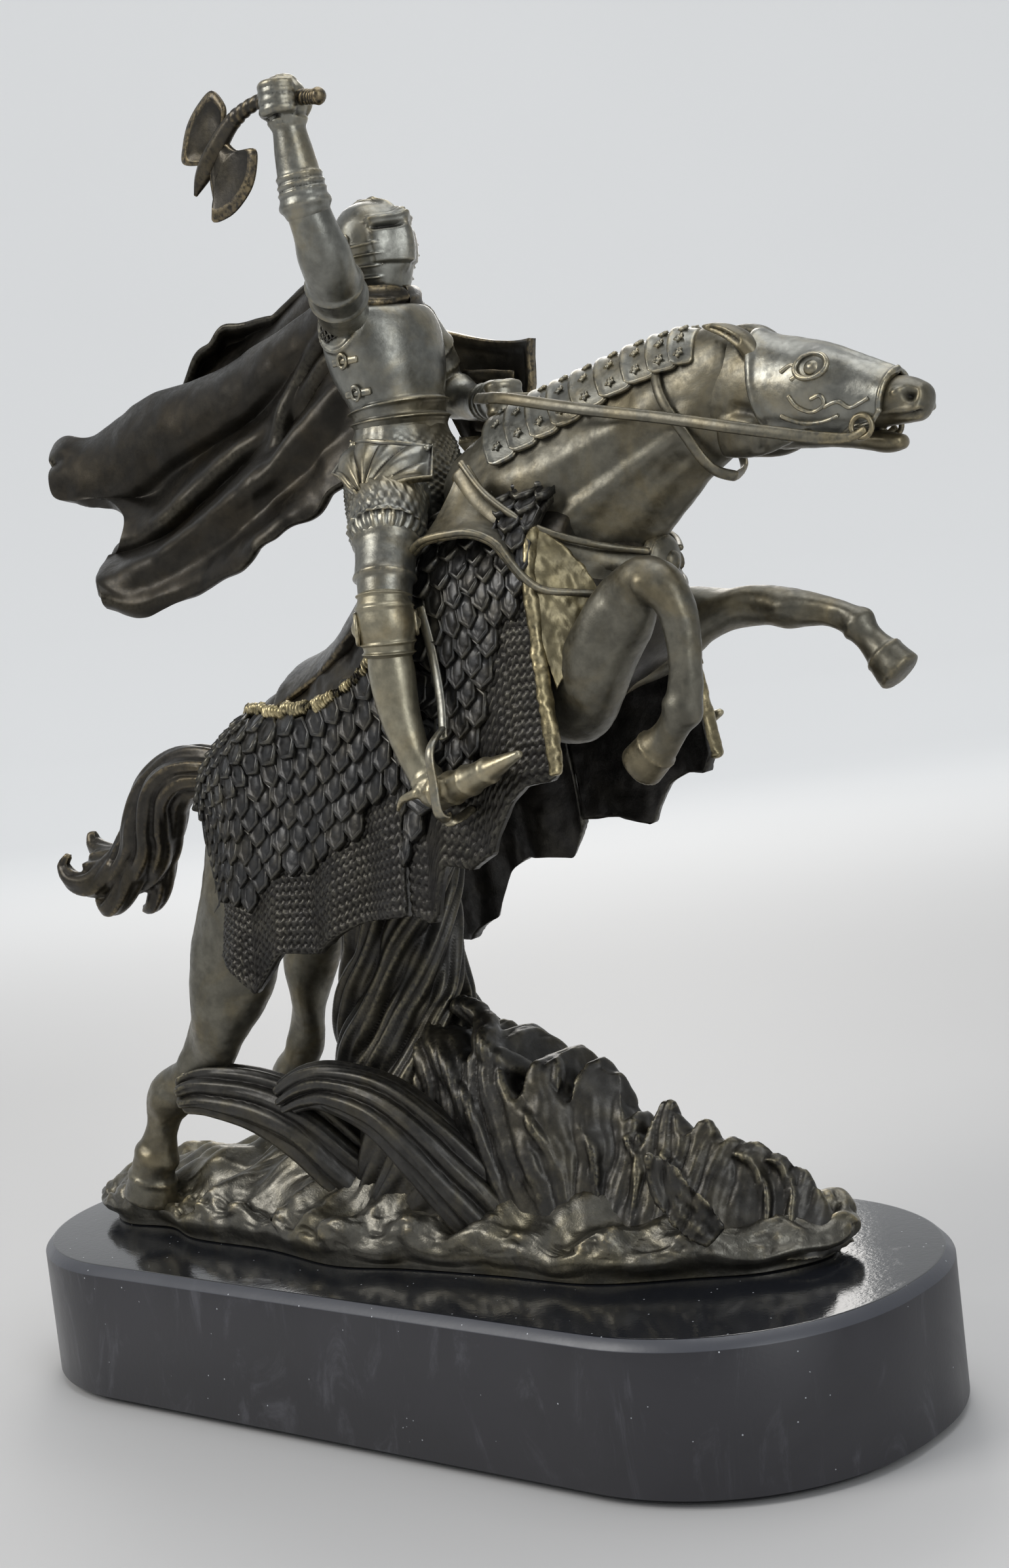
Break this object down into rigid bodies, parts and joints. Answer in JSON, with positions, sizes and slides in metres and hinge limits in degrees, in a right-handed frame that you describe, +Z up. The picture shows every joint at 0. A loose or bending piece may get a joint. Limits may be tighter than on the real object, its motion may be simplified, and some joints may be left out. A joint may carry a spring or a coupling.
{
  "type": "equestrian statuette",
  "caption": "Cast-bronze armoured knight raising a double axe on a leaping armoured horse, bolted to a long polished black stone plinth with felt beneath.",
  "frame": {"origin": "middle of the felt's underside, on the surface the statuette stands on", "axes": "+Z up, +X the way the horse leaps, along the plinth; the horse's right side faces -Y"},
  "size_m": [0.2783, 0.106, 0.3046],
  "materials": {
    "bronze_dark": "cast bronze with a dark olive-brown patina, rubbed golden on its ridges",
    "bronze_warm": "cast bronze with a warm brown patina, smooth and softly polished",
    "bronze_cloth": "cast bronze with a near-black blue-grey patina over scales and mail",
    "black_marble": "polished black stone with fine pale specks",
    "black_felt": "thin black felt",
    "zinc_steel": "zinc-plated steel"
  },
  "bodies": {
    "root": {"felt_pad": "black_felt", "marble_base": "black_marble", "mounting_bolt_front": "zinc_steel", "mounting_bolt_rear": "zinc_steel", "washer_front": "zinc_steel", "washer_rear": "zinc_steel", "ground_casting": "bronze_dark", "grass_plume": "bronze_dark", "grass_crest": "bronze_dark", "grass_curl_middle": "bronze_dark", "grass_curl_rear": "bronze_dark", "horse_body": "bronze_dark", "tail": "bronze_dark", "cape": "bronze_dark", "cape_collar": "bronze_dark", "shield": "bronze_dark", "axe": "bronze_dark", "saddle": "bronze_dark", "horse_neck": "bronze_warm", "horse_head": "bronze_warm", "chanfron": "bronze_warm", "foreleg_right": "bronze_warm", "foreleg_left": "bronze_warm", "hindleg_right": "bronze_warm", "hindleg_left": "bronze_warm", "peytral": "bronze_warm", "cuirass": "bronze_warm", "helmet": "bronze_warm", "upper_arm_right": "bronze_warm", "forearm_right": "bronze_warm", "arm_left": "bronze_warm", "thigh_right": "bronze_warm", "thigh_left": "bronze_warm", "greave_right": "bronze_warm", "greave_left": "bronze_warm", "tasset_right": "bronze_warm", "tasset_left": "bronze_warm", "poleyn_right": "bronze_warm", "poleyn_left": "bronze_warm", "rein_right": "bronze_warm", "rein_left": "bronze_warm", "stirrup_right": "bronze_warm", "stirrup_left": "bronze_warm", "crinet_lame_1": "bronze_warm", "crinet_lame_2": "bronze_warm", "crinet_lame_3": "bronze_warm", "crinet_lame_4": "bronze_warm", "crinet_lame_5": "bronze_warm", "crinet_lame_6": "bronze_warm", "crinet_lame_7": "bronze_warm", "crinet_lame_8": "bronze_warm", "crinet_lame_9": "bronze_warm", "caparison_rear": "bronze_cloth", "caparison_front": "bronze_cloth", "rider_hips": "bronze_cloth"}
  },
  "joints": []
}
